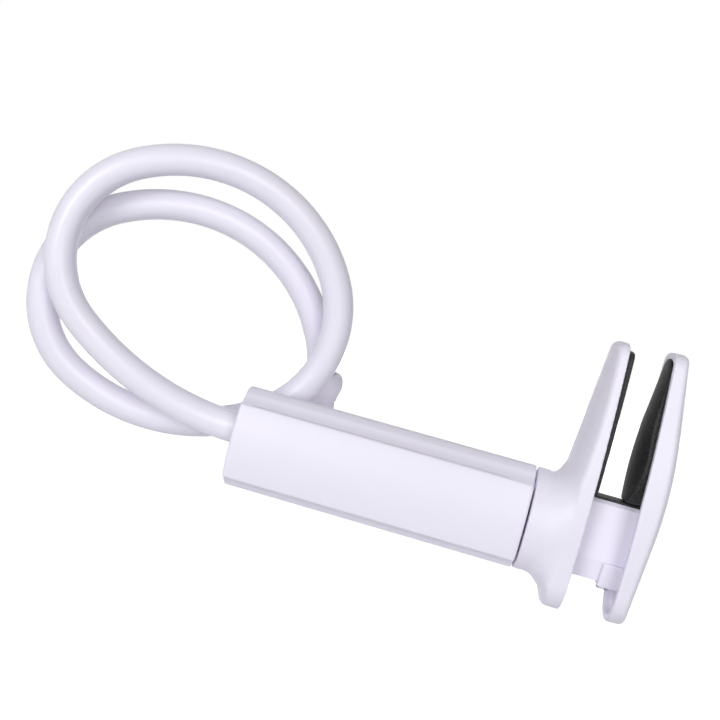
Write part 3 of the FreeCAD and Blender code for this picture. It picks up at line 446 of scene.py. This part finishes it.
def long_foot(place):
    """The leaf pad's foot reaches down to the strip on the bar and a little forward."""
    forward, forward_height = 0.7 * MM, 34.0 * MM
    down, down_height = 1.0 * MM, 7.0 * MM
    low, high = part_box("sliding_jaw_pad")
    height = place[:, 2] - low[2]
    outward = (high[0] - place[:, 0]) / (high[0] - low[0])
    place[:, 0] -= forward * outward * (1.0 - ramp(height, 0.0, forward_height))
    place[:, 2] -= down * (1.0 - ramp(height, 0.0, down_height))
    return place


def soft_pad(name, node, voxel, change):
    """A rubber pad with the soft edges and faint unevenness of a moulded sheet."""
    piece = moulded(name, node, voxel, 2, change)
    clouds = bpy.data.textures.new(name + "_relief", "CLOUDS")
    clouds.noise_scale = 1.6 * MM
    relief = piece.modifiers.new("relief", "DISPLACE")
    relief.texture = clouds
    relief.texture_coords = "LOCAL"
    relief.strength = 0.06 * MM
    relief.mid_level = 0.5


def cross_cutter(place, turn, reach, depth):
    """A tapered cross that sinks into a screw's head."""
    arm_share, taper = 0.24, 0.55
    work = bmesh.new()
    arm = reach * arm_share
    corners = [(arm, reach), (arm, arm), (reach, arm), (reach, -arm), (arm, -arm), (arm, -reach)]
    corners += [(-x, -y) for x, y in corners]
    top = [work.verts.new((x, y, depth)) for x, y in corners]
    low = [work.verts.new((x * taper, y * taper, -depth)) for x, y in corners]
    work.faces.new(top)
    work.faces.new(low[::-1])
    for index in range(len(corners)):
        after = (index + 1) % len(corners)
        work.faces.new((top[index], low[index], low[after], top[after]))
    bmesh.ops.recalc_face_normals(work, faces=work.faces)
    mesh = bpy.data.meshes.new("cross")
    work.to_mesh(mesh)
    work.free()
    cutter = bpy.data.objects.new("cross", mesh)
    cutter.location = place
    cutter.rotation_euler = turn
    bpy.context.scene.collection.objects.link(cutter)
    return cutter


def cross_screws(name, node, heads, turn):
    """Screws with a cross recess and an eased edge on each head."""
    piece = welded_copy(name, node)
    cutters = [cross_cutter(place, turn, reach=1.6 * MM, depth=0.8 * MM) for place in heads]
    for cutter in cutters:
        recess = piece.modifiers.new("recess", "BOOLEAN")
        recess.operation = "DIFFERENCE"
        recess.solver = "EXACT"
        recess.object = cutter
    ease = piece.modifiers.new("ease", "BEVEL")
    ease.width = 0.08 * MM
    ease.segments = 2
    ease.limit_method = "ANGLE"
    ease.angle_limit = math.radians(50)
    shaped(piece)
    for cutter in cutters:
        bpy.data.objects.remove(cutter)
    settle(piece, node)


def all_screws():
    """Two pairs of screws in the back of the handle, and one under the sliding jaw."""
    facing_back = (-math.pi / 2, 0, 0)
    facing_down = (math.pi, 0, 0)
    for node in ("cover_screws", "fixed_jaw_screws"):
        low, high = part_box(node)
        middle = middle_of(node)
        radius = (high[0] - low[0]) / 2
        heads = [(middle.x, high[1], z) for z in (low[2] + radius, high[2] - radius)]
        cross_screws("cross_" + node, node, heads, facing_back)
    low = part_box("sliding_jaw_screw")[0]
    middle = middle_of("sliding_jaw_screw")
    cross_screws("cross_jaw_screw", "sliding_jaw_screw", [(middle.x, middle.y, low[2])], facing_down)


def wire_mesh(name, points, radius):
    """A round wire along points."""
    curve = bpy.data.curves.new(name, "CURVE")
    curve.dimensions = "3D"
    curve.bevel_depth = radius
    curve.bevel_resolution = 3
    curve.use_fill_caps = True
    line = curve.splines.new("POLY")
    line.points.add(len(points) - 1)
    for point, place in zip(line.points, points):
        point.co = (*place, 1.0)
    wire = bpy.data.objects.new(name, curve)
    bpy.context.scene.collection.objects.link(wire)
    graph = bpy.context.evaluated_depsgraph_get()
    mesh = bpy.data.meshes.new_from_object(wire.evaluated_get(graph))
    bpy.data.objects.remove(wire)
    for face in mesh.polygons:
        face.use_smooth = True
    return mesh


def stretching_spring():
    """The spring as one bent wire: a ring round each pin and the coil between them."""
    near = middle_of("spring_anchor_pin")
    far = middle_of("slider_spring_pin")
    radius, wire_radius, link = 2.6 * MM, 0.4 * MM, 4.0 * MM
    turns, steps_per_turn = 16, 20
    start = near.x + link
    end = far.x - link

    def ring(x, tens):
        """Points round a pin, at tens of degrees from its top."""
        angles = [math.radians(ten * 10) for ten in tens]
        return [(x + radius * math.sin(a), near.y, near.z + radius * math.cos(a)) for a in angles]

    points = ring(near.x, range(-30, 1))
    steps = turns * steps_per_turn
    for step in range(steps + 1):
        part = step / steps
        angle = part * turns * math.tau
        along = start + (end - start) * part
        points.append((along, near.y - radius * math.sin(angle), near.z + radius * math.cos(angle)))
    points += ring(far.x, range(0, 31))
    piece = add_piece("wound_spring", wire_mesh("spring_wire", points, wire_radius), "tension_spring")
    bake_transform(piece)
    take_place("tension_spring")


# Stage


def camera():
    """A camera at the photograph's angle."""
    data = bpy.data.cameras.new("camera")
    data.lens = CAMERA_LENS
    data.sensor_width = CAMERA_SENSOR
    data.shift_y = CAMERA_SHIFT
    data.clip_start = CAMERA_NEAREST
    view = bpy.data.objects.new("camera", data)
    view.location = CAMERA_AT
    view.rotation_euler = Euler([math.radians(angle) for angle in CAMERA_TURN])
    bpy.context.scene.collection.objects.link(view)
    bpy.context.scene.camera = view


def softbox(name, at, width, height, level, mirrored=True):
    """A soft lamp that lights what faces it at its target to a level, where 1 shows a colour as written."""
    away = Vector(LAMP_TARGET) - Vector(at)
    data = bpy.data.lights.new(name, "AREA")
    data.shape = "RECTANGLE"
    data.size = width
    data.size_y = height
    data.energy = math.pi ** 2 * away.length_squared * level
    lamp = bpy.data.objects.new(name, data)
    lamp.visible_glossy = mirrored
    lamp.location = at
    lamp.rotation_euler = away.to_track_quat("-Z", "Y").to_euler()
    bpy.context.scene.collection.objects.link(lamp)


def seen_directly(tree):
    """1 for rays that look straight at the background or see it mirrored or through glass, 0 for light."""
    path = tree.nodes.new("ShaderNodeLightPath")
    total = path.outputs["Is Camera Ray"]
    for kind in ("Is Glossy Ray", "Is Transmission Ray"):
        node = tree.nodes.new("ShaderNodeMath")
        node.operation = "MAXIMUM"
        tree.links.new(total, node.inputs[0])
        tree.links.new(path.outputs[kind], node.inputs[1])
        total = node.outputs[0]
    return total


def world():
    """A white background where it is seen, and a weak even fill as light."""
    made = bpy.data.worlds.new("studio")
    bpy.context.scene.world = made
    made.use_nodes = True
    tree = made.node_tree
    tree.nodes.clear()
    fill = tree.nodes.new("ShaderNodeBackground")
    fill.inputs["Color"].default_value = (1.0, 1.0, 1.0, 1.0)
    fill.inputs["Strength"].default_value = FILL_LEVEL
    white = tree.nodes.new("ShaderNodeBackground")
    white.inputs["Color"].default_value = (1.0, 1.0, 1.0, 1.0)
    both = tree.nodes.new("ShaderNodeMixShader")
    out = tree.nodes.new("ShaderNodeOutputWorld")
    tree.links.new(seen_directly(tree), both.inputs[0])
    tree.links.new(fill.outputs[0], both.inputs[1])
    tree.links.new(white.outputs[0], both.inputs[2])
    tree.links.new(both.outputs[0], out.inputs["Surface"])


def floor():
    """A pale floor under the object: white where it is lit, with the object's faint shadow on it."""
    low = CAD_BOX[0][2]
    mesh = bpy.data.meshes.new("floor")
    sides = [(-1, -1), (1, -1), (1, 1), (-1, 1)]
    corners = [(x * FLOOR_REACH, y * FLOOR_REACH, low) for x, y in sides]
    mesh.from_pydata(corners, [], [(0, 1, 2, 3)])
    made = bpy.data.objects.new("floor", mesh)
    bpy.context.scene.collection.objects.link(made)
    material, tree, shader, place = new_material("pale_floor")
    cloud = noise(tree, place, scale=6.0)
    tree.links.new(two_tone(tree, cloud, *FLOOR_TONES), shader.inputs["Base Color"])
    shader.inputs["Roughness"].default_value = FLOOR_ROUGHNESS
    shader.inputs["Specular IOR Level"].default_value = 0.0
    glow = tree.nodes.new("ShaderNodeEmission")
    scale = tree.nodes.new("ShaderNodeMath")
    scale.operation = "MULTIPLY"
    scale.inputs[1].default_value = FLOOR_GLOW
    tree.links.new(seen_directly(tree), scale.inputs[0])
    tree.links.new(scale.outputs[0], glow.inputs["Strength"])
    both = tree.nodes.new("ShaderNodeAddShader")
    tree.links.new(shader.outputs[0], both.inputs[0])
    tree.links.new(glow.outputs[0], both.inputs[1])
    tree.links.new(both.outputs[0], tree.nodes["Material Output"].inputs["Surface"])
    mesh.materials.append(material)


def light():
    """Two soft lamps beside the camera and one behind the object, which no surface mirrors."""
    softbox("left", (-0.45, -0.92, 0.14), width=0.40, height=0.60, level=0.56)
    softbox("right", (0.30, -0.92, 0.18), width=0.40, height=0.60, level=0.37)
    softbox("back", (-0.13, 0.95, 0.15), width=0.60, height=0.60, level=0.50, mirrored=False)


finish_nodes()
moulded_jaw()
moulded("moulded_sliding_jaw", "sliding_jaw", voxel=0.36 * MM, rounds=2)
moulded("moulded_panel", "handle_cover", voxel=0.40 * MM, rounds=8, change=seated_panel)
moulded("moulded_housing", "handle_shell", voxel=0.44 * MM, rounds=1, change=coved_bands)
moulded("swelled_collar", "end_collar", voxel=0.30 * MM, rounds=4, change=full_collar)
soft_pad("grip_pad_fixed", "fixed_jaw_pad", voxel=0.34 * MM, change=full_tip)
soft_pad("grip_pad_sliding", "sliding_jaw_pad", voxel=0.34 * MM, change=long_foot)
soft_pad("grip_strip", "slider_strip", voxel=0.22 * MM, change=thin_strip)
all_screws()
stretching_spring()
camera()
world()
floor()
light()
bpy.context.scene.view_settings.view_transform = "Standard"
